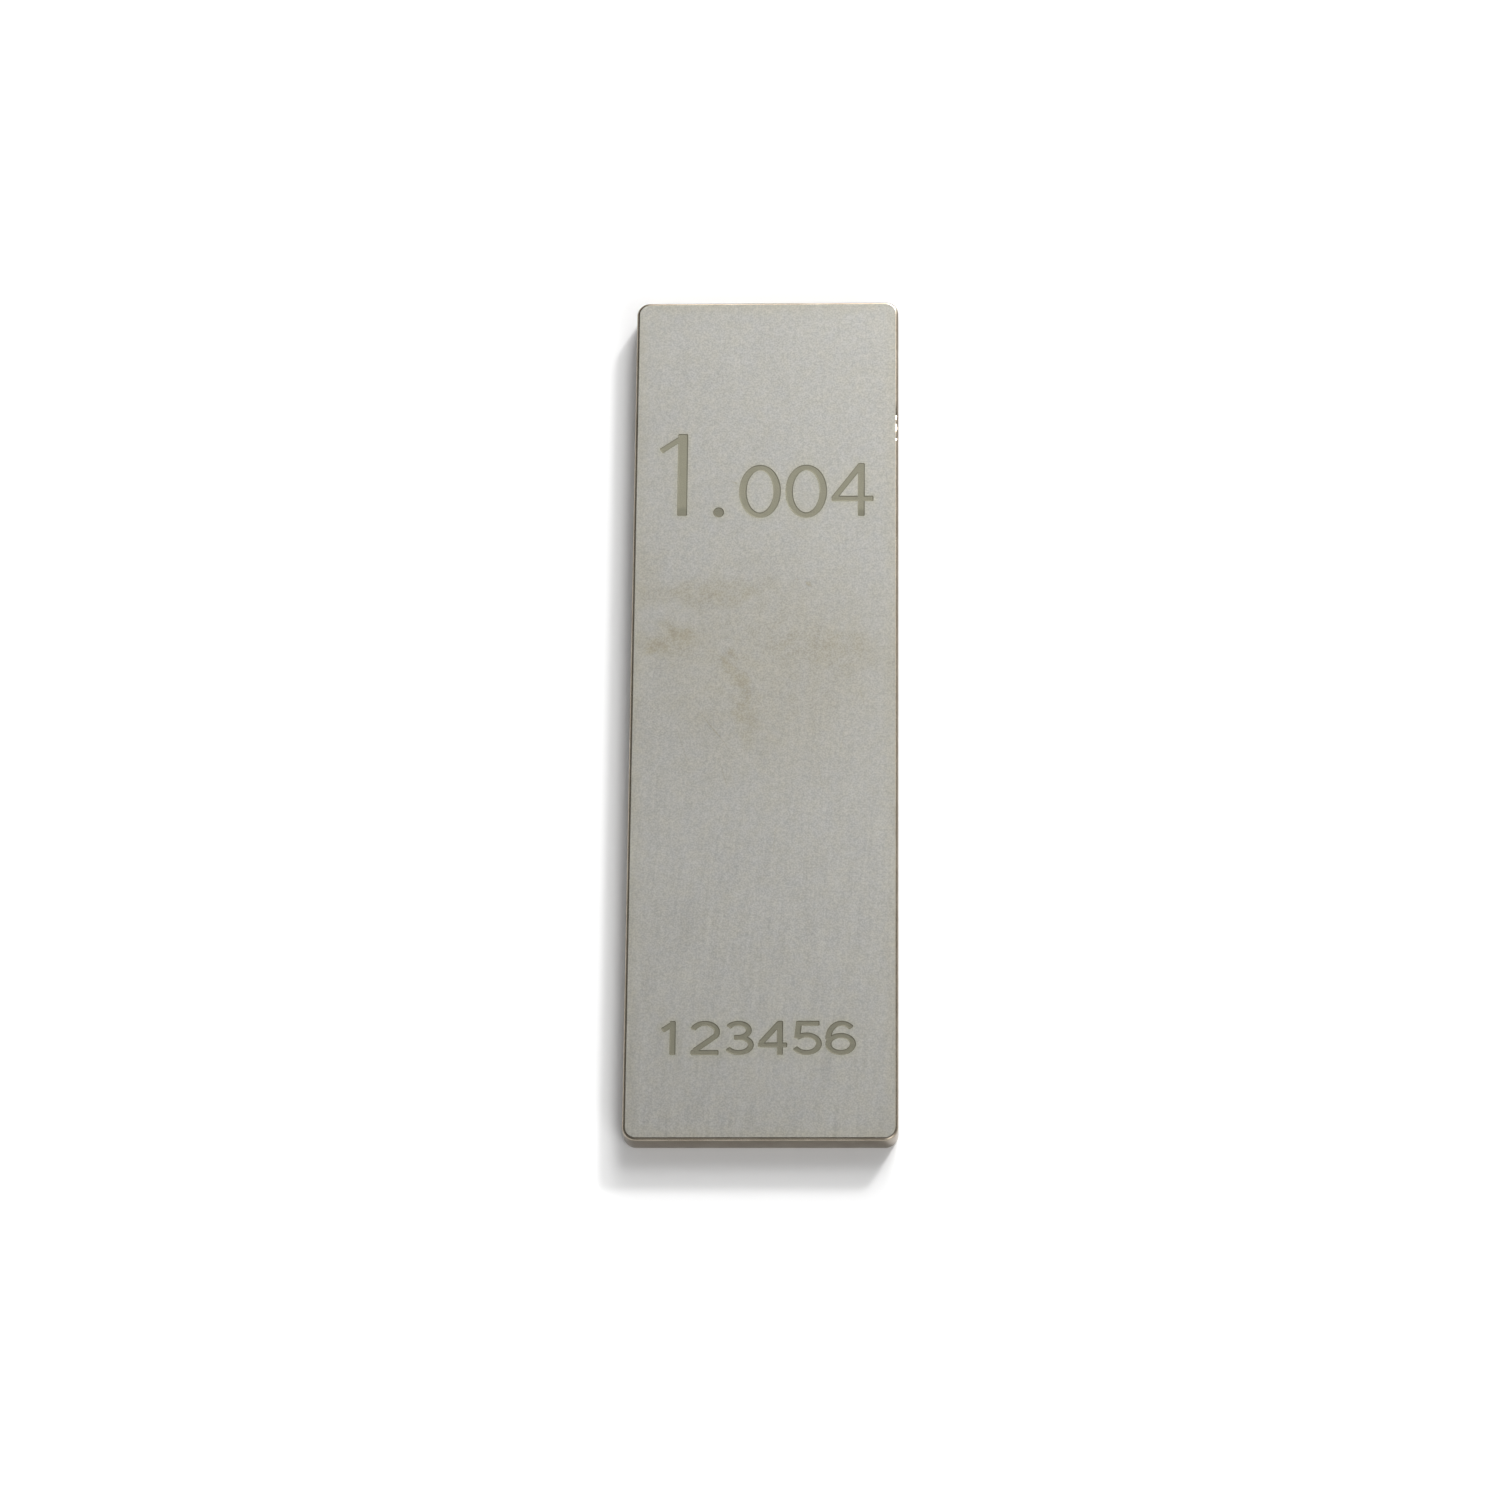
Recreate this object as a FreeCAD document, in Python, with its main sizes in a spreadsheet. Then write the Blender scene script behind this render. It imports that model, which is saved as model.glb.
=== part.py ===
"""Rectangular steel gauge block, marked size 1.004 mm.

A gauge block is one piece of hardened, ground and lapped steel. Its two large faces are the
measuring faces: they are flat and parallel, and the distance between them is the size that the
block stands for. Everything else about its form is set by the standard cross-section and by the
way the block is finished:

    gauge_length    between the two measuring faces; the one size that is different on every block
    face_length     long side of the 30 x 9 mm cross-section
    face_width      short side of the cross-section
    corner_radius   the four upright corners, rounded so that they don't bruise a face they touch
    edge_radius     the stoned edge all round each measuring face, which keeps burrs off the face

The block lies on its lower measuring face. The origin is the centre of that face, +Z is the
measuring direction, +Y runs along the block and +X across it.
"""

import FreeCAD, Part
import math
import os

import Sketcher

SIZES = {
    "gauge_length": 1.004,
    "face_length": 30.0,
    "face_width": 9.0,
    "corner_radius": 0.45,
    "edge_radius": 0.1,
}
NODE = "gauge_block"
TOLERANCE = 1e-6

# Which point of a curve a sketch constraint means.
START, END, CENTRE = 1, 2, 3
# The sketch's own origin, as a constraint names it: the start point of its X axis.
ORIGIN = (-1, START)


def make_sheet(doc):
    """The driving dimensions, one alias each."""
    sheet = doc.addObject("Spreadsheet::Sheet", "sizes")
    for row, (alias, size) in enumerate(SIZES.items(), start=1):
        sheet.set(f"A{row}", alias)
        sheet.set(f"B{row}", str(size))
        sheet.setAlias(f"B{row}", alias)
    doc.recompute()
    return sheet


def origin_plane(body, role):
    """One of the body's own origin planes."""
    return next(f for f in body.Origin.OriginFeatures if f.Role == role)


def bind_constraint(sketch, name, constraint, expression):
    """Adds a sketch dimension that reads its value from the sheet."""
    index = sketch.addConstraint(constraint)
    sketch.renameConstraint(index, name)
    sketch.setExpression(f"Constraints.{name}", expression)


def outline_sketch(body, sheet):
    """The block's outline seen along the measuring direction: a rectangle with rounded corners."""
    sketch = body.newObject("Sketcher::SketchObject", "outline")
    sketch.AttachmentSupport = (origin_plane(body, "XY_Plane"), "")
    sketch.MapMode = "FlatFace"

    half_x = sheet.face_width / 2
    half_y = sheet.face_length / 2
    radius = sheet.corner_radius
    up = FreeCAD.Vector(0, 0, 1)
    quarter = math.pi / 2
    # Anticlockwise from the right-hand side: a straight side, then the corner that follows it.
    corners = [(1, 1), (-1, 1), (-1, -1), (1, -1)]
    sides, arcs = [], []
    for turn, (sx, sy) in enumerate(corners):
        before = corners[turn - 1]
        if turn % 2 == 0:
            start = FreeCAD.Vector(sx * half_x, before[1] * (half_y - radius), 0)
            end = FreeCAD.Vector(sx * half_x, sy * (half_y - radius), 0)
        else:
            start = FreeCAD.Vector(before[0] * (half_x - radius), sy * half_y, 0)
            end = FreeCAD.Vector(sx * (half_x - radius), sy * half_y, 0)
        sides.append(sketch.addGeometry(Part.LineSegment(start, end), False))
        centre = FreeCAD.Vector(sx * (half_x - radius), sy * (half_y - radius), 0)
        circle = Part.Circle(centre, up, radius)
        arc = Part.ArcOfCircle(circle, turn * quarter, (turn + 1) * quarter)
        arcs.append(sketch.addGeometry(arc, False))

    for turn, (side, arc) in enumerate(zip(sides, arcs)):
        following = sides[(turn + 1) % len(sides)]
        upright = "Vertical" if turn % 2 == 0 else "Horizontal"
        sketch.addConstraint(Sketcher.Constraint(upright, side))
        sketch.addConstraint(Sketcher.Constraint("Tangent", side, END, arc, START))
        sketch.addConstraint(Sketcher.Constraint("Tangent", arc, END, following, START))
    for arc in arcs[1:]:
        sketch.addConstraint(Sketcher.Constraint("Equal", arcs[0], arc))
    sketch.addConstraint(Sketcher.Constraint("Symmetric", arcs[0], CENTRE, arcs[2], CENTRE, *ORIGIN))

    right, top, left, bottom = sides
    width = Sketcher.Constraint("DistanceX", left, START, right, START, 2 * half_x)
    length = Sketcher.Constraint("DistanceY", bottom, START, top, START, 2 * half_y)
    rounding = Sketcher.Constraint("Radius", arcs[0], radius)
    bind_constraint(sketch, "face_width", width, "sizes.face_width")
    bind_constraint(sketch, "face_length", length, "sizes.face_length")
    bind_constraint(sketch, "corner_radius", rounding, "sizes.corner_radius")
    return sketch


def measuring_faces(shape):
    """The names of the shape's two flat faces that look along Z."""
    names = []
    for number, face in enumerate(shape.Faces, start=1):
        normal = face.normalAt(0, 0)
        if isinstance(face.Surface, Part.Plane) and abs(abs(normal.z) - 1) < TOLERANCE:
            names.append(f"Face{number}")
    return names


def make_gauge_block(doc, sheet):
    """The whole block: its outline, raised by the gauge length, with both faces' edges rounded."""
    body = doc.addObject("PartDesign::Body", NODE)
    body.Label = NODE
    sketch = outline_sketch(body, sheet)
    doc.recompute()

    blank = body.newObject("PartDesign::Pad", "blank")
    blank.Profile = sketch
    blank.setExpression("Length", "sizes.gauge_length")
    sketch.Visibility = False
    doc.recompute()

    stoned = body.newObject("PartDesign::Fillet", "stoned_edges")
    stoned.Base = (blank, measuring_faces(blank.Shape))
    stoned.setExpression("Radius", "sizes.edge_radius")
    body.Tip = stoned
    doc.recompute()
    return body


def check_document(doc):
    """Stops the build if a feature failed, because recompute doesn't say so itself."""
    failed = [o.Label for o in doc.Objects if {"Invalid", "Error"} & set(o.State)]
    if failed:
        raise RuntimeError(f"these features failed: {failed}")


def check_block(body, sheet):
    """Stops the build unless the block is one sound solid of the stated size on its lower face."""
    shape = body.Shape
    if shape.isNull() or not shape.isValid() or len(shape.Solids) != 1:
        raise RuntimeError(f"{body.Label} is not one valid solid")
    box = shape.optimalBoundingBox(False, False)
    wanted = {
        "width": (box.XLength, sheet.face_width),
        "length": (box.YLength, sheet.face_length),
        "gauge length": (box.ZLength, sheet.gauge_length),
        "height of the lower face": (box.ZMin, 0.0),
        "offset across": (box.XMin + box.XMax, 0.0),
        "offset along": (box.YMin + box.YMax, 0.0),
    }
    for what, (found, stated) in wanted.items():
        if abs(found - stated) > TOLERANCE:
            raise RuntimeError(f"{body.Label}: {what} is {found}, and it should be {stated}")


def main():
    doc = FreeCAD.newDocument("gauge_block_document")
    sheet = make_sheet(doc)
    body = make_gauge_block(doc, sheet)
    check_document(doc)
    check_block(body, sheet)
    os.makedirs("parts", exist_ok=True)
    body.Shape.exportStep(f"parts/{body.Label}.step")
    print(f"{body.Label}: {body.Shape.Volume:.3f} mm3, {len(body.Shape.Faces)} faces")


main()
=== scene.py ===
"""Looks of the gauge block: a finely rounded mesh with etched marks, its steel, and the scene round it.

The block's shape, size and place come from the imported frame. Lengths are in millimetres unless a name
or a comment says otherwise, and MM turns them into Blender's metres. Places on the marked face are
(across, along), both measured from the middle of the face.
"""

import math

import bmesh
import bpy
import numpy as np
from mathutils import Matrix, Vector
from mathutils.geometry import delaunay_2d_cdt


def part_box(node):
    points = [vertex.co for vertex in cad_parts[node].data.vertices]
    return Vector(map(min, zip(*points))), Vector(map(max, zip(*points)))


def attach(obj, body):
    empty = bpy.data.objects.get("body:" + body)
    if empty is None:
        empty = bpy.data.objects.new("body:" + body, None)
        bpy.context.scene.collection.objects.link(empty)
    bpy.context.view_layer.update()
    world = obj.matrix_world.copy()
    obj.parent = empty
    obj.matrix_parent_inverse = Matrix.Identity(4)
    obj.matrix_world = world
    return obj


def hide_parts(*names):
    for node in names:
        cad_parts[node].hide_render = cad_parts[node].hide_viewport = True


MM = 0.001
NODE = "gauge_block"
FINISHES = ["lapped_face", "ground_side", "etched_mark"]

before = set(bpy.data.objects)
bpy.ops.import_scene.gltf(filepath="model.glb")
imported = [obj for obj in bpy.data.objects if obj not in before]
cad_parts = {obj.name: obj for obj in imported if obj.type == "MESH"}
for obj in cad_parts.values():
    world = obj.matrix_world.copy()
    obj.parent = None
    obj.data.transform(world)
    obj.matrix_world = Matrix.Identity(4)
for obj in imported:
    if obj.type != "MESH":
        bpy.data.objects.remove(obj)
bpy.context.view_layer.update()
low_corner, high_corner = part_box(NODE)
HALF_WIDTH = (high_corner.x - low_corner.x) / 2 / MM
HALF_LENGTH = (high_corner.y - low_corner.y) / 2 / MM
TOP = high_corner.z / MM
BOTTOM = low_corner.z / MM

# The rounded edges have the solid's radii.
CORNER_RADIUS = 0.45
EDGE_RADIUS = 0.1
CORNER_STEPS = 14
EDGE_STEPS = 8
# A narrow flat strip inside each rounded edge keeps the edge's shading off the measuring face.
EDGE_STRIP = 0.012
SIDE_STEP = 0.5

# Nicks on the right-hand edge of the marked face, each crushed into small flats that all face one way.
NICKS = [(10.66, 0.09, 0.011), (10.28, 0.17, 0.012), (9.85, 0.06, 0.01)]  # (along, half length, depth)
NICK_FACING = Vector((0.284, 0.25, 0.925)).normalized()
NICK_STEP = 0.015
NICK_FLAT = 2 * NICK_STEP

# The unwrapped surface, for baking, lies on a sheet of this size. Across the sheet, these are the middles
# of the two measuring faces and the lower edges of the strips for the sides.
SHEET = (22.0, 30.6)
MARKED_ISLAND, PLAIN_ISLAND = 4.75, 14.25
SIDE_STRIPS = {"right": 19.1, "left": 20.05, "ends": 21.0}

# The marks are shallow etched recesses with sloping walls.
MARK_DEPTH = 0.006
WALL_WIDTH = 0.035
MARK_STEP = 0.035
CAP_RADIUS = 0.045
CAP_STEPS = 3
# Round each mark the etching left a halo, which the mesh follows with a few rings of points.
HALO_RINGS = (0.05, 0.11, 0.19, 0.3)
HALO_REACH = 0.1

# Points this close are one point, and edges this short are taken away.
JOIN_DISTANCE = 2e-5
SHORTEST_EDGE = 1e-5
TRIANGULATION_TOLERANCE = 1e-6
SHARP_ANGLE = 16


# ------------------------------------------------------------------ marks

def line(start, end):
    """A straight centre line."""
    start, end = Vector(start), Vector(end)
    count = max(2, math.ceil((end - start).length / MARK_STEP))
    return [start.lerp(end, step / count) for step in range(count + 1)]


def arc(centre, radii, first, last):
    """A centre line along part of an upright ellipse, between two angles in degrees."""
    length = math.radians(abs(last - first)) * (radii[0] + radii[1]) / 2
    count = math.ceil(length / MARK_STEP)
    points = []
    for step in range(count + 1):
        angle = math.radians(first + (last - first) * step / count)
        x = centre[0] + radii[0] * math.cos(angle)
        y = centre[1] + radii[1] * math.sin(angle)
        points.append(Vector((x, y)))
    return points


def stroke(path, upright, level):
    """A pen stroke: its centre line, and its thickness where it runs along and across the block."""
    closed = (path[0] - path[-1]).length < MARK_STEP / 100
    return {"path": path[:-1] if closed else path, "closed": closed, "upright": upright, "level": level}


def directions(path, closed):
    """The unit direction of a centre line at each of its points."""
    found = []
    for index in range(len(path)):
        before = path[index - 1] if closed or index else path[0]
        after = path[(index + 1) % len(path)] if closed or index + 1 < len(path) else path[-1]
        found.append((after - before).normalized())
    return found


def cap(end, along, half, inset):
    """A stroke's flat end with rounded corners, from its right-hand side round to its left."""
    radius = max(CAP_RADIUS - inset, CAP_RADIUS / 4)
    across = Vector((along.y, -along.x))
    points = []
    for side in (1, -1):
        middle = end - along * (inset + radius) + across * side * (half - radius)
        for step in range(CAP_STEPS + 1):
            turned = step if side == 1 else CAP_STEPS - step
            angle = math.radians(90 * turned / CAP_STEPS)
            sideways = middle + across * side * radius * math.cos(angle)
            points.append(sideways + along * radius * math.sin(angle))
    return points


def stroke_loops(mark, inset):
    """The closed outlines of a stroke, moved inwards by inset."""
    path, closed = mark["path"], mark["closed"]
    left, right = [], []
    travelled = [0.0]
    for before, after in zip(path, path[1:]):
        travelled.append(travelled[-1] + (after - before).length)
    keep_from = 0.0 if closed else inset + CAP_RADIUS
    for point, along, so_far in zip(path, directions(path, closed), travelled):
        half = (mark["level"] * along.x ** 2 + mark["upright"] * along.y ** 2) / 2 - inset
        if closed or keep_from < so_far < travelled[-1] - keep_from:
            across = Vector((along.y, -along.x))
            right.append(point + across * half)
            left.append(point - across * half)
        if not closed and so_far == 0:
            first_cap = cap(point, -along, half, inset)
        if not closed and so_far == travelled[-1]:
            last_cap = cap(point, along, half, inset)
    if closed:
        return [right, left]
    return [first_cap + right + last_cap + left[::-1]]


def dot(centre, radius):
    """A round mark."""
    return {"centre": Vector(centre), "radius": radius}


def dot_loops(mark, inset):
    """The closed outline of a dot, moved inwards by inset."""
    radius = mark["radius"] - inset
    count = math.ceil(2 * math.pi * radius / MARK_STEP)
    turns = [2 * math.pi * step / count for step in range(count)]
    return [[mark["centre"] + radius * Vector((math.cos(turn), math.sin(turn))) for turn in turns]]


def loops(mark, inset=0.0):
    """The closed outlines of any mark, moved inwards by inset."""
    return stroke_loops(mark, inset) if "path" in mark else dot_loops(mark, inset)


def size_mark():
    """The block's nominal length: a tall whole number and smaller decimals."""
    # The thickness of the decimals' strokes, where they run along and across the block.
    decimal, level = 0.255, 0.205
    marks = [
        stroke(line((-2.847, 10.06), (-2.847, 7.02)), 0.34, 0.34),
        stroke(line((-2.80, 9.97), (-3.60, 9.42)), 0.22, 0.19),
        dot((-1.604, 7.147), 0.185),
    ]
    for middle in (-0.204, 1.367):
        marks.append(stroke(arc((middle, 7.914), (0.582, 0.880), 0, 360), decimal, level))
    marks.append(stroke(line((3.24, 8.95), (3.24, 6.99)), 0.235, level))
    marks.append(stroke(line((3.22, 8.88), (2.29, 7.62)), 0.2, 0.2))
    marks.append(stroke(line((2.23, 7.637), (3.655, 7.637)), decimal, level))
    return marks


def row_digits():
    """The six digits of the lower row, as centre lines in a cell 1 mm wide and 1.17 mm tall."""
    return [
        [line((0.56, 1.17), (0.56, 0.0)), line((0.58, 1.08), (0.22, 0.84))],
        [
            arc((0.5, 0.79), (0.40, 0.295), 165, -28) + line((0.853, 0.652), (0.14, 0.13))[1:],
            line((0.04, 0.085), (0.96, 0.085)),
        ],
        [
            arc((0.48, 0.845), (0.35, 0.24), 155, -90),
            arc((0.50, 0.345), (0.40, 0.26), 92, -155),
            line((0.34, 0.605), (0.52, 0.605)),
        ],
        [
            line((0.74, 1.17), (0.74, 0.0)),
            line((0.72, 1.10), (0.09, 0.38)),
            line((0.02, 0.345), (0.98, 0.345)),
        ],
        [
            line((0.17, 1.085), (0.92, 1.085)),
            line((0.25, 1.16), (0.19, 0.56)),
            arc((0.49, 0.385), (0.41, 0.30), 142, -155),
        ],
        [
            arc((0.50, 0.375), (0.40, 0.29), 0, 360),
            arc((0.53, 0.585), (0.43, 0.50), 42, 188),
        ],
    ]


def number_row():
    """A plain run of digits in the lower row's place."""
    first_cell, base, pitch = -3.45, -12.11, 1.113
    marks = []
    for place, paths in enumerate(row_digits()):
        corner = Vector((first_cell + pitch * place, base))
        for path in paths:
            marks.append(stroke([corner + point for point in path], 0.2, 0.175))
    return marks


def depth_inside(points, mark):
    """How far each point lies inside a mark's outline; outside it is negative."""
    nearest = np.full(len(points), np.inf)
    inside = np.zeros(len(points), bool)
    for loop in loops(mark):
        start = np.array([tuple(p) for p in loop])
        end = np.roll(start, -1, axis=0)
        for a, b in zip(start, end):
            run = b - a
            share = np.clip(((points - a) @ run) / (run @ run), 0, 1)
            nearest = np.minimum(nearest, np.hypot(*(points - a - share[:, None] * run).T))
            crosses = (a[1] > points[:, 1]) != (b[1] > points[:, 1])
            if crosses.any():
                meets = a[0] + (points[:, 1] - a[1]) * run[0] / (run[1] if run[1] else 1.0)
                inside ^= crosses & (points[:, 0] < meets)
    return np.where(inside, nearest, -nearest)


def deepest(points, marks):
    """Each point's depth inside the mark that it lies deepest in, or its distance outside the nearest.
    Points beyond the reach of every halo just get a distance that is larger."""
    points = np.asarray(points, float)
    found = np.full(len(points), -np.inf)
    reach = HALO_RINGS[-1] + MARK_STEP
    for mark in marks:
        outline_points = np.array([tuple(p) for p in loops(mark)[0]])
        low, high = outline_points.min(axis=0) - reach, outline_points.max(axis=0) + reach
        near = np.all((points > low) & (points < high), axis=1)
        found[near] = np.maximum(found[near], depth_inside(points[near], mark))
    return found


# ------------------------------------------------------------------ mesh

def side_shares(length, stretches):
    """Where a straight side has its points, as shares of its length: close together at the nicked
    stretches, which are (start, end) pairs."""
    stops = []
    here = 0.0
    while True:
        near = any(start - SIDE_STEP < here < end for start, end in stretches)
        here += NICK_STEP if near else SIDE_STEP
        if here > length - NICK_STEP:
            return stops
        stops.append(here / length)


def outline():
    """The block's outline, anticlockwise, as (point, outward direction) pairs. The points lie on the
    rectangle that the rounded corners are centred on, so a step outwards gives the outline at any inset."""
    run_x, run_y = HALF_WIDTH - CORNER_RADIUS, HALF_LENGTH - CORNER_RADIUS
    centres = [Vector(c) for c in ((run_x, -run_y), (run_x, run_y), (-run_x, run_y), (-run_x, -run_y))]
    stretches = [(along - half + run_y, along + half + run_y) for along, half, depth in NICKS]
    pairs = []
    for turn, centre in enumerate(centres):
        first = (turn - 1) * math.pi / 2
        for step in range(CORNER_STEPS + 1):
            angle = first + math.pi / 2 * step / CORNER_STEPS
            out = Vector((math.cos(angle), math.sin(angle)))
            pairs.append((centre, out))
        following = centres[(turn + 1) % 4]
        for share in side_shares((following - centre).length, stretches if turn == 0 else []):
            pairs.append((centre.lerp(following, share), out))
    return pairs


def edge_profile():
    """The rounded edges and the side between them, from the marked face down, as (inset, height)."""
    turns = [math.pi / 2 * step / EDGE_STEPS for step in range(EDGE_STEPS + 1)]
    upper = [(EDGE_RADIUS * (1 - math.sin(t)), TOP - EDGE_RADIUS * (1 - math.cos(t))) for t in turns]
    lower = [(inset, TOP + BOTTOM - height) for inset, height in reversed(upper)]
    strip = EDGE_RADIUS + EDGE_STRIP
    return [(strip, TOP)] + upper + lower + [(strip, BOTTOM)]


def nicked(point):
    """A point of the marked face's right-hand edge, cut back to the small flat that a nick left there."""
    for along, half, depth in NICKS:
        if abs(point.y - along) < half and point.x > 0:
            from_flat = (point.y - along + half) % NICK_FLAT - NICK_FLAT / 2
            middle = Vector((HALF_WIDTH - EDGE_RADIUS, point.y - from_flat, TOP - EDGE_RADIUS))
            height = (point - middle).dot(NICK_FACING) - EDGE_RADIUS + depth
            eased = 1 - ((point.y - along) / half) ** 4
            return point - NICK_FACING * max(height, 0) * eased
    return point


def face_points(rim, marks):
    """The marked face as flat triangles that follow every mark's outline: its points and triangles."""
    points = list(rim)
    edges = [(i, (i + 1) % len(rim)) for i in range(len(rim))]
    for mark in marks:
        for loop in loops(mark) + loops(mark, WALL_WIDTH):
            first = len(points)
            points += loop
            edges += [(first + i, first + (i + 1) % len(loop)) for i in range(len(loop))]
    for distance in HALO_RINGS:
        ring = [p for mark in marks for loop in loops(mark, -distance) for p in loop]
        clear = deepest([tuple(p) for p in ring], marks) < -0.9 * distance
        points += [p for p, use in zip(ring, clear) if use and abs(p.x) < HALF_WIDTH - 2 * EDGE_RADIUS]
    found, _, triangles, *_ = delaunay_2d_cdt(points, edges, [], 0, TRIANGULATION_TOLERANCE)
    return found, triangles


def ring_sheet(index, point, out):
    """Where a ring's point lies on the sheet: round its measuring face, for the rounded edge beside it."""
    upper = index <= EDGE_STEPS + 1
    steps = index if upper else 2 * EDGE_STEPS + 3 - index
    unrolled = EDGE_RADIUS * math.pi / 2 * (steps - 1) / EDGE_STEPS if steps else -EDGE_STRIP
    flat = point + out * (CORNER_RADIUS - EDGE_RADIUS + unrolled)
    return face_sheet(flat, upper)


def face_sheet(point, marked):
    """Where a point of a measuring face lies on the sheet."""
    across = MARKED_ISLAND + point[0] if marked else PLAIN_ISLAND - point[0]
    return across, SHEET[1] / 2 + point[1]


def side_sheet(point, out, height, strip):
    """Where a point of the four sides lies on the sheet: each side is a strip with half of each corner."""
    lift = SIDE_STRIPS["ends" if strip in ("near", "far") else strip] + height - BOTTOM
    if strip in ("near", "far"):
        turned = math.asin(max(-1.0, min(1.0, out.x)))
        middle = SHEET[1] / 4 * (1 if strip == "near" else 3)
        return lift, middle + point.x + CORNER_RADIUS * turned
    turned = math.asin(max(-1.0, min(1.0, out.y)))
    return lift, SHEET[1] / 2 + point.y + CORNER_RADIUS * turned


def strip_of(out):
    """The side that looks the way of out."""
    if abs(out.x) > abs(out.y):
        return "right" if out.x > 0 else "left"
    return "far" if out.y > 0 else "near"


class Surface:
    """The block's skin as it is put together. A point has its strength of halo and its share of a mark's
    depth. A face has its finish, whether it is shaded smooth, and its corners' places on the sheet."""

    def __init__(self):
        self.points, self.halo, self.etch_depth = [], [], []
        self.faces, self.finishes, self.smooth, self.sheet = [], [], [], []

    def add_points(self, points, halo=None, etch_depth=None):
        """Adds points, plain ones unless it is told otherwise, and gives the number of the first."""
        first = len(self.points)
        plain = [0.0] * len(points)
        self.points += points
        self.halo += plain if halo is None else list(halo)
        self.etch_depth += plain if etch_depth is None else list(etch_depth)
        return first

    def add_face(self, corners, finish, smooth, places):
        self.faces.append(corners)
        self.finishes.append(finish)
        self.smooth.append(smooth)
        self.sheet += places


def add_rings(surface, pairs):
    """The rounded edges and the sides, as rings of faces from the marked face down."""
    profile = edge_profile()
    for inset, height in profile:
        ring = [Vector((*(point + out * (CORNER_RADIUS - inset)), height)) for point, out in pairs]
        surface.add_points([nicked(place) for place in ring] if inset <= EDGE_RADIUS else ring)

    count = len(pairs)
    side_ring = EDGE_STEPS + 1
    for upper in range(len(profile) - 1):
        flat_strip = upper in (0, len(profile) - 2)
        finish = "lapped_face" if flat_strip else "ground_side"
        for here in range(count):
            following = (here + 1) % count
            corners = [(upper, here), (upper + 1, here), (upper + 1, following), (upper, following)]
            if upper == side_ring:
                strip = strip_of(pairs[here][1] + pairs[following][1])
                places = [side_sheet(*pairs[place], profile[ring][1], strip) for ring, place in corners]
            else:
                places = [ring_sheet(ring, *pairs[place]) for ring, place in corners]
            surface.add_face([ring * count + place for ring, place in corners], finish, True, places)


def add_marked_face(surface, rim):
    """The upper measuring face, with its marks sunk into it."""
    marks = size_mark() + number_row()
    flat, triangles = face_points(rim, marks)
    inside = deepest([tuple(p) for p in flat], marks)
    depth = np.clip(inside / WALL_WIDTH, 0, 1)
    halo = np.exp(np.minimum(inside, 0) / HALO_REACH)
    halo[inside < -HALO_RINGS[-1]] = 0.0
    sunk = [Vector((*p, TOP - MARK_DEPTH * share)) for p, share in zip(flat, depth)]
    first = surface.add_points(sunk, halo, depth)

    middles = [np.mean([flat[i] for i in triangle], axis=0) for triangle in triangles]
    for triangle, is_etched in zip(triangles, deepest(middles, marks) > 0):
        finish = "etched_mark" if is_etched else "lapped_face"
        places = [face_sheet(flat[i], True) for i in triangle]
        surface.add_face([first + i for i in triangle], finish, False, places)


def add_underside(surface, rim):
    """The lower measuring face, which is plain."""
    flat, _, triangles, *_ = delaunay_2d_cdt(rim, [], [], 0, TRIANGULATION_TOLERANCE)
    first = surface.add_points([Vector((*p, BOTTOM)) for p in flat])
    for triangle in triangles:
        corners = list(reversed(triangle))
        places = [face_sheet(flat[i], False) for i in corners]
        surface.add_face([first + i for i in corners], "lapped_face", False, places)


def build_mesh():
    """The whole block in one closed mesh, in metres, with its marks, nicks and baking map."""
    surface = Surface()
    pairs = outline()
    add_rings(surface, pairs)
    rings = [p.to_2d() for p in surface.points]
    add_marked_face(surface, rings[:len(pairs)])
    add_underside(surface, rings[-len(pairs):])

    mesh = bpy.data.meshes.new("gauge_block_finished")
    mesh.from_pydata([p * MM for p in surface.points], [], surface.faces)
    for name, values in {"halo": surface.halo, "etch_depth": surface.etch_depth}.items():
        values = np.array(values, np.float32)
        mesh.attributes.new(name, "FLOAT", "POINT").data.foreach_set("value", values)
    baking_map = mesh.uv_layers.new(name="OFBake")
    places = np.array(surface.sheet) / SHEET
    baking_map.data.foreach_set("uv", places.ravel().astype(np.float32))
    for name in FINISHES:
        mesh.materials.append(bpy.data.materials[name])
    mesh.polygons.foreach_set("material_index", [FINISHES.index(name) for name in surface.finishes])
    mesh.polygons.foreach_set("use_smooth", surface.smooth)
    close_mesh(mesh)
    return mesh


def close_mesh(mesh):
    """Joins the faces to their rims, and keeps the nicks and the marks' walls sharp."""
    work = bmesh.new()
    work.from_mesh(mesh)
    bmesh.ops.remove_doubles(work, verts=work.verts, dist=JOIN_DISTANCE * MM)
    bmesh.ops.dissolve_degenerate(work, edges=work.edges, dist=SHORTEST_EDGE * MM)
    bmesh.ops.recalc_face_normals(work, faces=work.faces)
    work.to_mesh(mesh)
    work.free()
    smooth = [face.use_smooth for face in mesh.polygons]
    mesh.set_sharp_from_angle(angle=math.radians(SHARP_ANGLE))
    # That call forgets which faces are flat.
    mesh.polygons.foreach_set("use_smooth", smooth)
    mesh.update()


# ------------------------------------------------------------------ materials

def new_node(tree, kind, inputs=None, **settings):
    """A shader node with its settings made and its inputs set or linked."""
    node = tree.nodes.new(kind)
    for name, value in settings.items():
        setattr(node, name, value)
    for name, value in (inputs or {}).items():
        if isinstance(value, bpy.types.NodeSocket):
            tree.links.new(value, node.inputs[name])
        else:
            node.inputs[name].default_value = value
    return node


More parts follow.
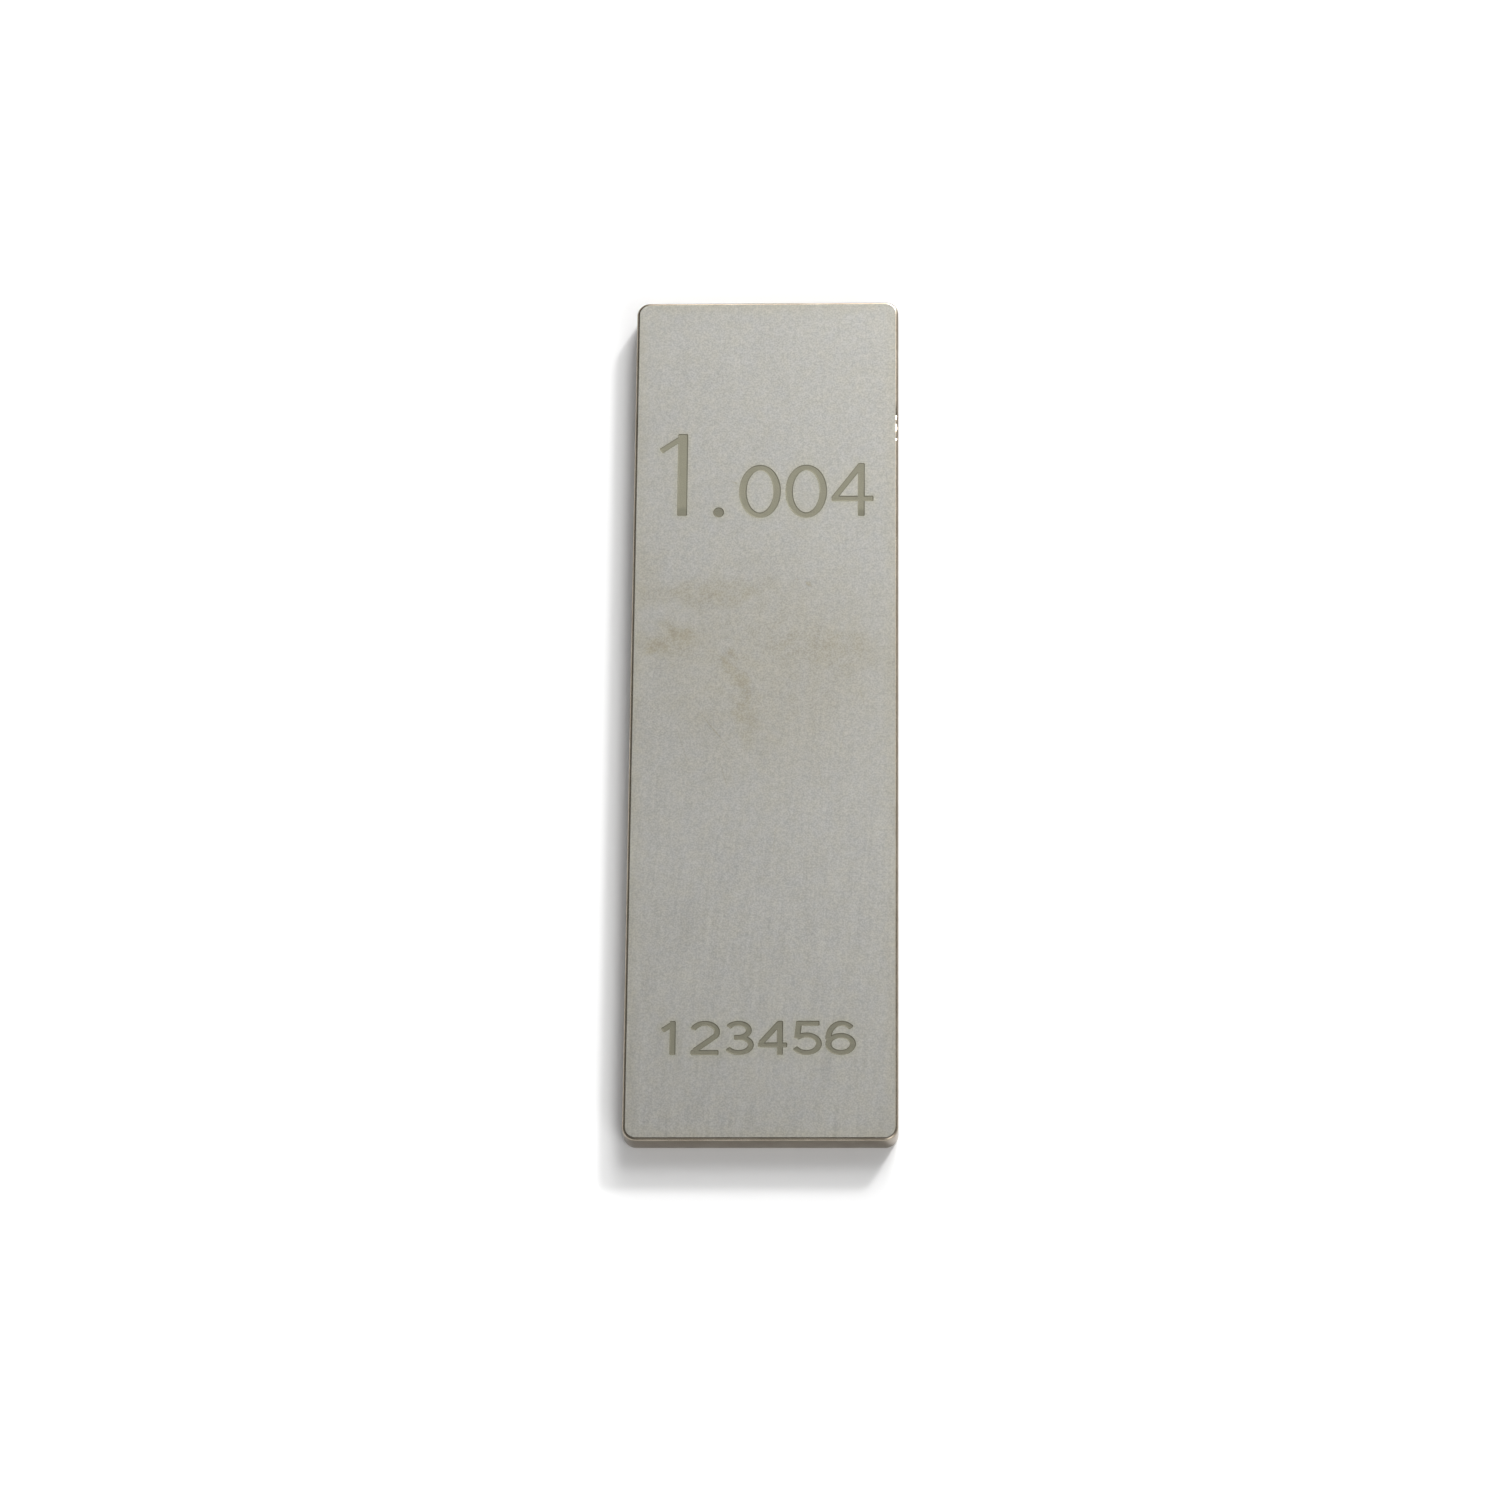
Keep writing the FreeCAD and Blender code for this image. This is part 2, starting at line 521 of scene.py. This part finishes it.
def maths(tree, operation, *values):
    """The result of a sum on numbers or patterns."""
    inputs = dict(enumerate(values))
    return new_node(tree, "ShaderNodeMath", inputs, operation=operation).outputs[0]


def mix_colour(tree, factor, low, high):
    """Goes from one colour to another as factor goes from 0 to 1."""
    inputs = {0: factor, 6: low, 7: high}
    return new_node(tree, "ShaderNodeMix", inputs, data_type="RGBA").outputs[2]


def fade(tree, value, start, end, low=0.0, high=1.0):
    """Goes smoothly from low to high as value goes from start to end."""
    inputs = {"Value": value, "From Min": start, "From Max": end, "To Min": low, "To Max": high}
    return new_node(tree, "ShaderNodeMapRange", inputs, interpolation_type="SMOOTHSTEP").outputs[0]


def millimetres(tree):
    """The place on the object, in millimetres."""
    place = new_node(tree, "ShaderNodeTexCoord").outputs["Object"]
    inputs = {"Vector": place, "Scale": (1 / MM,) * 3}
    return new_node(tree, "ShaderNodeMapping", inputs).outputs[0]


def noise(tree, place, size, detail=2.0, roughness=0.5):
    """A noise pattern whose features are about size millimetres, round a middle value of 0.5."""
    inputs = {"Vector": place, "Scale": 1 / size, "Detail": detail, "Roughness": roughness}
    return new_node(tree, "ShaderNodeTexNoise", inputs).outputs[0]


def streaks(tree, place, angle, width, length, detail=2.0):
    """A noise pattern drawn out into lines of one direction, in degrees from along the block."""
    turned = new_node(tree, "ShaderNodeMapping", {"Vector": place, "Rotation": (0, 0, math.radians(angle))})
    inputs = {"Vector": turned.outputs[0], "Scale": (1 / width, 1 / length, 1 / width)}
    drawn = new_node(tree, "ShaderNodeMapping", inputs).outputs[0]
    return noise(tree, drawn, 1.0, detail)


def weighted(tree, *terms):
    """1 plus each (pattern, amount): the pattern's deviation from its middle, times the amount."""
    total = 1 - sum(amount for _, amount in terms) / 2
    for pattern, amount in terms:
        total = maths(tree, "MULTIPLY_ADD", pattern, amount, total)
    return total


def scaled_colour(tree, colour, factor):
    """A colour made lighter or darker by a factor."""
    return new_node(tree, "ShaderNodeVectorMath", {0: colour, 3: factor}, operation="SCALE").outputs[0]


def attribute(tree, name):
    """A value that the mesh carries at its points."""
    return new_node(tree, "ShaderNodeAttribute", attribute_name=name).outputs["Fac"]


def new_material(name):
    """A new material's node tree and its shader."""
    material = bpy.data.materials.new(name)
    material.use_nodes = True
    tree = material.node_tree
    return tree, tree.nodes["Principled BSDF"]


def edge_distance(tree, place):
    """How far a place on a measuring face is from the face's outline."""
    split = new_node(tree, "ShaderNodeSeparateXYZ", {0: place})
    across = maths(tree, "SUBTRACT", HALF_WIDTH, maths(tree, "ABSOLUTE", split.outputs["X"]))
    along = maths(tree, "SUBTRACT", HALF_LENGTH, maths(tree, "ABSOLUTE", split.outputs["Y"]))
    return maths(tree, "MINIMUM", across, along)


def rgb(red, green, blue):
    """A solid colour, as linear values."""
    return red, green, blue, 1.0


def shape_at(tree, place, middle, radii, turn, softness):
    """A soft-edged ellipse on the face: 1 in the middle and 0 outside."""
    inputs = {
        "Vector": place, "Location": (*middle, 0.0), "Rotation": (0, 0, math.radians(turn)),
        "Scale": (*radii, 1000.0),
    }
    local = new_node(tree, "ShaderNodeMapping", inputs, vector_type="TEXTURE").outputs[0]
    distance = new_node(tree, "ShaderNodeVectorMath", {0: local}, operation="LENGTH").outputs["Value"]
    return fade(tree, distance, 1.0, 1.0 - softness)


def summed(tree, *terms):
    """The sum of (pattern, strength) pairs, no more than 1."""
    total = 0.0
    for pattern, strength in terms:
        total = maths(tree, "MULTIPLY_ADD", pattern, strength, total)
    return maths(tree, "MINIMUM", total, 1.0)


def wandering(tree, place, amount, size):
    """The place, moved about a little, so that shapes drawn there come out uneven."""
    scatter = new_node(tree, "ShaderNodeTexNoise", {"Vector": place, "Scale": 1 / size, "Detail": 4.0})
    inputs = {0: scatter.outputs["Color"], 1: (0.5, 0.5, 0.5)}
    centred = new_node(tree, "ShaderNodeVectorMath", inputs, operation="SUBTRACT").outputs[0]
    inputs = {0: centred, 1: (amount, amount, 0.0), 2: place}
    return new_node(tree, "ShaderNodeVectorMath", inputs, operation="MULTIPLY_ADD").outputs[0]


STEEL = rgb(0.472, 0.468, 0.447)
WARM_STEEL = rgb(0.468, 0.45, 0.385)
STAIN_BROWN = rgb(0.37, 0.34, 0.26)
HALO_YELLOW = rgb(0.462, 0.448, 0.36)
# EDGE_BROWN is both the sides' tarnish and the painted shade on their flat parts.
EDGE_STEEL, EDGE_BROWN = rgb(0.38, 0.335, 0.27), rgb(0.23, 0.185, 0.135)
MARK_GREY, MARK_RIM = rgb(0.235, 0.226, 0.17), rgb(0.165, 0.156, 0.116)

# Storage stains on the marked face: (middle, radii, turn in degrees, strength).
STAINS = [
    ((-2.2, 4.2), (3.4, 0.75), 2, 0.6),
    ((-3.2, 2.4), (1.7, 1.1), 15, 0.75),
    ((-2.75, 2.75), (0.75, 0.28), -12, 0.7),
    ((-3.85, 1.9), (0.5, 0.3), 30, 0.6),
    ((-1.15, 1.9), (0.42, 0.7), 10, 0.75),
    ((-0.75, 0.2), (0.5, 2.1), 12, 0.6),
    ((0.2, 1.3), (6.2, 5.6), 0, 0.5),
    ((2.5, 2.2), (2.6, 1.1), -3, 0.35),
    ((-3.9, 5.0), (0.8, 1.6), 0, 0.4),
    ((1.62, 4.72), (0.2, 0.11), -30, 1.0),
    ((1.05, 4.9), (0.12, 0.08), 0, 0.7),
    ((-1.13, 8.25), (0.05, 0.2), 25, 0.8),
]
# Hairline scratches there: (middle, half length, turn in degrees, strength).
SCRATCH_HALF_WIDTH = 0.035
SCRATCHES = [
    ((-1.63, -0.75), 1.4, 38, 0.8),
    ((-1.35, -2.3), 0.8, 12, 0.7),
    ((-2.7, -1.4), 1.1, 20, 0.4),
    ((2.6, -1.2), 1.3, -9, 0.4),
    ((1.9, -2.4), 0.9, 7, 0.4),
    ((0.4, -4.6), 1.0, -4, 0.4),
    ((3.3, 0.4), 0.7, 16, 0.4),
]
# Where the marks were etched most: (middle, radii).
DARK_MARKS = [((-1.604, 7.147), (0.5, 0.5)), ((-2.85, 6.95), (0.45, 0.5)), ((3.24, 6.9), (0.4, 0.45))]


def stained(tree, place):
    """How stained the marked face is at each place, from 0 to 1."""
    bent = wandering(tree, place, 1.3, 1.1)
    patches = [(shape_at(tree, bent, middle, radii, turn, 0.85), strength)
               for middle, radii, turn, strength in STAINS]
    broken = fade(tree, noise(tree, place, 0.5, 5.0, 0.6), 0.3, 0.7, 0.5, 1.1)
    return maths(tree, "MULTIPLY", summed(tree, *patches), broken)


def scratched(tree, place):
    """How much of a hairline scratch there is at each place, from 0 to 1."""
    bent = wandering(tree, place, 0.22, 0.8)
    lines = [(shape_at(tree, bent, middle, (SCRATCH_HALF_WIDTH, half), turn, 0.9), strength)
             for middle, half, turn, strength in SCRATCHES]
    return summed(tree, *lines)


def speckle(tree, place, size):
    """A contrasty fine noise."""
    return fade(tree, noise(tree, place, size, 2.0), 0.3, 0.7)


def lapped_face():
    """The measuring faces: satin steel with a fine grain and faint lines. The marked one also has old
    stains and a few hairline scratches."""
    tree, shader = new_material("lapped_face")
    place = millimetres(tree)
    split = new_node(tree, "ShaderNodeSeparateXYZ", {0: place})
    marked_side = fade(tree, split.outputs["Z"], BOTTOM, TOP)
    cloud = noise(tree, place, 0.9, 5.0, 0.6)
    grain, mottle, tint = (speckle(tree, place, size) for size in (0.055, 0.15, 0.3))
    crossed = maths(tree, "ADD", *(streaks(tree, place, angle, 0.045, 0.5) for angle in (34, -41)))
    along = streaks(tree, place, 4, 0.11, 2.2, 3.0)
    drawn = maths(tree, "MULTIPLY", along, fade(tree, split.outputs["Y"], 4.0, -7.0, 0.4, 1.0))
    rim = fade(tree, maths(tree, "MULTIPLY_ADD", cloud, 0.6, edge_distance(tree, place)), 0.95, 0.3)
    dirt = maths(tree, "MULTIPLY", stained(tree, place), marked_side)
    lines = maths(tree, "MULTIPLY", scratched(tree, place), marked_side)

    warmth = summed(tree, (fade(tree, cloud, 0.3, 0.7), 0.25), (tint, 0.3), (rim, 0.55))
    colour = mix_colour(tree, warmth, STEEL, WARM_STEEL)
    colour = mix_colour(tree, maths(tree, "MULTIPLY", dirt, 0.8), colour, STAIN_BROWN)
    colour = mix_colour(tree, maths(tree, "MULTIPLY", lines, 0.7), colour, STAIN_BROWN)
    colour = mix_colour(tree, maths(tree, "MULTIPLY", attribute(tree, "halo"), 0.6), colour, HALO_YELLOW)
    shade = weighted(tree, (grain, 0.22), (mottle, 0.07), (cloud, 0.08), (crossed, 0.08), (drawn, 0.22))
    tree.links.new(scaled_colour(tree, colour, shade), shader.inputs["Base Color"])
    dulled = maths(tree, "MULTIPLY_ADD", dirt, 0.03, maths(tree, "MULTIPLY_ADD", along, 0.06, 0.335))
    tree.links.new(dulled, shader.inputs["Roughness"])
    height = maths(tree, "MULTIPLY_ADD", crossed, 0.6, grain)
    bump = new_node(tree, "ShaderNodeBump", {"Height": height, "Distance": 0.0006 * MM, "Strength": 1.0})
    tree.links.new(bump.outputs[0], shader.inputs["Normal"])
    shader.inputs["Metallic"].default_value = 1.0


def ground_side():
    """The sides and rounded edges: finely ground along their length and browned with age in patches,
    with painted shade that makes the flat sides darker than the rounded edges.
    """
    tree, shader = new_material("ground_side")
    place = millimetres(tree)
    height = new_node(tree, "ShaderNodeSeparateXYZ", {0: place}).outputs["Z"]
    turned = new_node(tree, "ShaderNodeMapping", {"Vector": place, "Scale": (0.8, 0.8, 45.0)}).outputs[0]
    lines = noise(tree, turned, 1.0, 3.0)
    tarnish = fade(tree, noise(tree, place, 0.9, 4.0, 0.6), 0.3, 0.7, 0.0, 0.4)
    off_middle = maths(tree, "ABSOLUTE", maths(tree, "SUBTRACT", height, (TOP + BOTTOM) / 2))
    from_face = maths(tree, "SUBTRACT", (TOP - BOTTOM) / 2, off_middle)
    # Painted shade: away from the rounded edges the flat sides are painted darker and browner; the noise is
    # tarnish.
    tarnish_and_painted_shade = maths(tree, "ADD", tarnish, fade(tree, from_face, 0.04, 0.13, 0.0, 0.6))
    colour = mix_colour(tree, tarnish_and_painted_shade, EDGE_STEEL, EDGE_BROWN)
    shade = weighted(tree, (lines, 0.3), (speckle(tree, place, 0.05), 0.1))
    tree.links.new(scaled_colour(tree, colour, shade), shader.inputs["Base Color"])
    tree.links.new(maths(tree, "MULTIPLY_ADD", lines, 0.12, 0.17), shader.inputs["Roughness"])
    bump = new_node(tree, "ShaderNodeBump", {"Height": lines, "Distance": 0.0008 * MM, "Strength": 1.0})
    tree.links.new(bump.outputs[0], shader.inputs["Normal"])
    shader.inputs["Metallic"].default_value = 1.0


def etched_mark():
    """The marks: dull brownish-grey steel, rough from etching, and darkest at their rims. Painted shade
    darkens them towards the near end, so the lower row is a little darker than the upper."""
    tree, shader = new_material("etched_mark")
    place = millimetres(tree)
    pits, patches = speckle(tree, place, 0.05), noise(tree, place, 0.4, 3.0)
    inner = fade(tree, attribute(tree, "etch_depth"), 0.3, 1.0)
    colour = mix_colour(tree, inner, MARK_RIM, MARK_GREY)
    spots = [(shape_at(tree, place, middle, radii, 0, 0.5), 1.0) for middle, radii in DARK_MARKS]
    shade = weighted(tree, (pits, 0.12), (patches, 0.16))
    shade = maths(tree, "MULTIPLY", shade, fade(tree, summed(tree, *spots), 0.0, 1.0, 1.0, 0.8))
    along = new_node(tree, "ShaderNodeSeparateXYZ", {0: place}).outputs["Y"]
    # Painted shade: the marks are painted darker towards the near end, as the face is darker there in the
    # room's light.
    shade = maths(tree, "MULTIPLY", shade, fade(tree, along, 6.0, -8.0, 1.0, 0.8))
    tree.links.new(scaled_colour(tree, colour, shade), shader.inputs["Base Color"])
    tree.links.new(maths(tree, "MULTIPLY_ADD", pits, 0.1, 0.5), shader.inputs["Roughness"])
    bump = new_node(tree, "ShaderNodeBump", {"Height": pits, "Distance": 0.0015 * MM, "Strength": 1.0})
    tree.links.new(bump.outputs[0], shader.inputs["Normal"])
    shader.inputs["Metallic"].default_value = 0.75


def white_floor():
    """Matt white, with no sheen."""
    tree, shader = new_material("floor_white")
    shader.inputs["Base Color"].default_value = rgb(0.97, 0.97, 0.97)
    shader.inputs["Roughness"].default_value = 1.0
    shader.inputs["Specular IOR Level"].default_value = 0.0


# ------------------------------------------------------------------ scene

# The room's soft lights: (azimuth, elevation, spread, strength).
GLOWS = [(11, 25, 7.8, 14.0), (24, 48, 8.6, 7.6), (141, 34, 14.8, 3.0)]


def pointing(direction):
    """The rotation of a lamp or camera that looks along a direction."""
    return Vector(direction).to_track_quat("-Z", "Y")


def towards(azimuth, elevation):
    """The direction at an azimuth, clockwise from +Y as seen from above, and an elevation, in degrees."""
    turn, lift = math.radians(azimuth), math.radians(elevation)
    return Vector((math.sin(turn) * math.cos(lift), math.cos(turn) * math.cos(lift), math.sin(lift)))


def add_sun(name, azimuth, elevation, width, lighting):
    """A far lamp, width degrees across, that lights a level white surface to the value of lighting."""
    lamp = bpy.data.lights.new(name, "SUN")
    lamp.angle = math.radians(width)
    lamp.energy = lighting * math.pi / math.sin(math.radians(elevation))
    sun = bpy.data.objects.new(name, lamp)
    sun.rotation_mode = "QUATERNION"
    sun.rotation_quaternion = pointing(-towards(azimuth, elevation))
    bpy.context.scene.collection.objects.link(sun)


def glow(tree, direction, azimuth, elevation, spread, strength):
    """A round patch of light in the room. It has faded to six tenths at spread degrees from its middle."""
    sharpness = 1 / math.radians(spread) ** 2
    middle = towards(azimuth, elevation)
    inputs = {0: direction, 1: middle}
    nearness = new_node(tree, "ShaderNodeVectorMath", inputs, operation="DOT_PRODUCT").outputs["Value"]
    faded = maths(tree, "EXPONENT", maths(tree, "MULTIPLY_ADD", nearness, sharpness, -sharpness))
    return maths(tree, "MULTIPLY", faded, strength)


def add_world():
    """A plain room: pale at the horizon and dim above it, with soft light from behind and front right."""
    world = bpy.data.worlds.new("studio")
    world.use_nodes = True
    tree = world.node_tree
    direction = new_node(tree, "ShaderNodeTexCoord").outputs["Generated"]
    height = new_node(tree, "ShaderNodeSeparateXYZ", {0: direction}).outputs["Z"]
    total = fade(tree, height, 0.1, 0.28, 0.9, 0.2)
    for patch in GLOWS:
        total = maths(tree, "ADD", total, glow(tree, direction, *patch))
    tree.links.new(total, tree.nodes["Background"].inputs["Strength"])
    tree.nodes["Background"].inputs["Color"].default_value = rgb(1.0, 1.0, 1.0)
    bpy.context.scene.world = world


def add_floor():
    """A pale floor, just under the block, out to far beyond every view."""
    reach, gap = 2.0, 0.002 * MM
    mesh = bpy.data.meshes.new("floor")
    corners = [(-reach, -reach), (reach, -reach), (reach, reach), (-reach, reach)]
    mesh.from_pydata([(x, y, BOTTOM * MM - gap) for x, y in corners], [], [(0, 1, 2, 3)])
    mesh.materials.append(bpy.data.materials["floor_white"])
    floor = bpy.data.objects.new("floor", mesh)
    bpy.context.scene.collection.objects.link(floor)


def add_camera():
    """The photograph's view: from above, a little to the right, and turned slightly about its axis."""
    distance, azimuth, elevation, roll = 177.26, 5.886, 69.439, -5.682
    aim = Vector((-0.4715, -1.2814, (TOP + BOTTOM) / 2))
    back = towards(180 - azimuth, elevation)
    data = bpy.data.cameras.new("camera")
    data.sensor_width = 36.0
    data.angle = math.radians(16.129)
    data.clip_start, data.clip_end = 10 * MM, 3.0
    camera = bpy.data.objects.new("camera", data)
    camera.rotation_mode = "QUATERNION"
    camera.rotation_quaternion = pointing(-back) @ Matrix.Rotation(math.radians(roll), 3, "Z").to_quaternion()
    camera.location = (aim + back * distance) * MM
    bpy.context.scene.collection.objects.link(camera)
    bpy.context.scene.camera = camera


lapped_face()
ground_side()
etched_mark()
white_floor()

block = bpy.data.objects.new("gauge_block_finished", build_mesh())
bpy.context.scene.collection.objects.link(block)
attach(block, "root")
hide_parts(NODE)

add_world()
add_floor()
add_camera()
add_sun("key", 30.6, 30.0, 7.5, 0.26)
bpy.context.scene.view_settings.view_transform = "Standard"
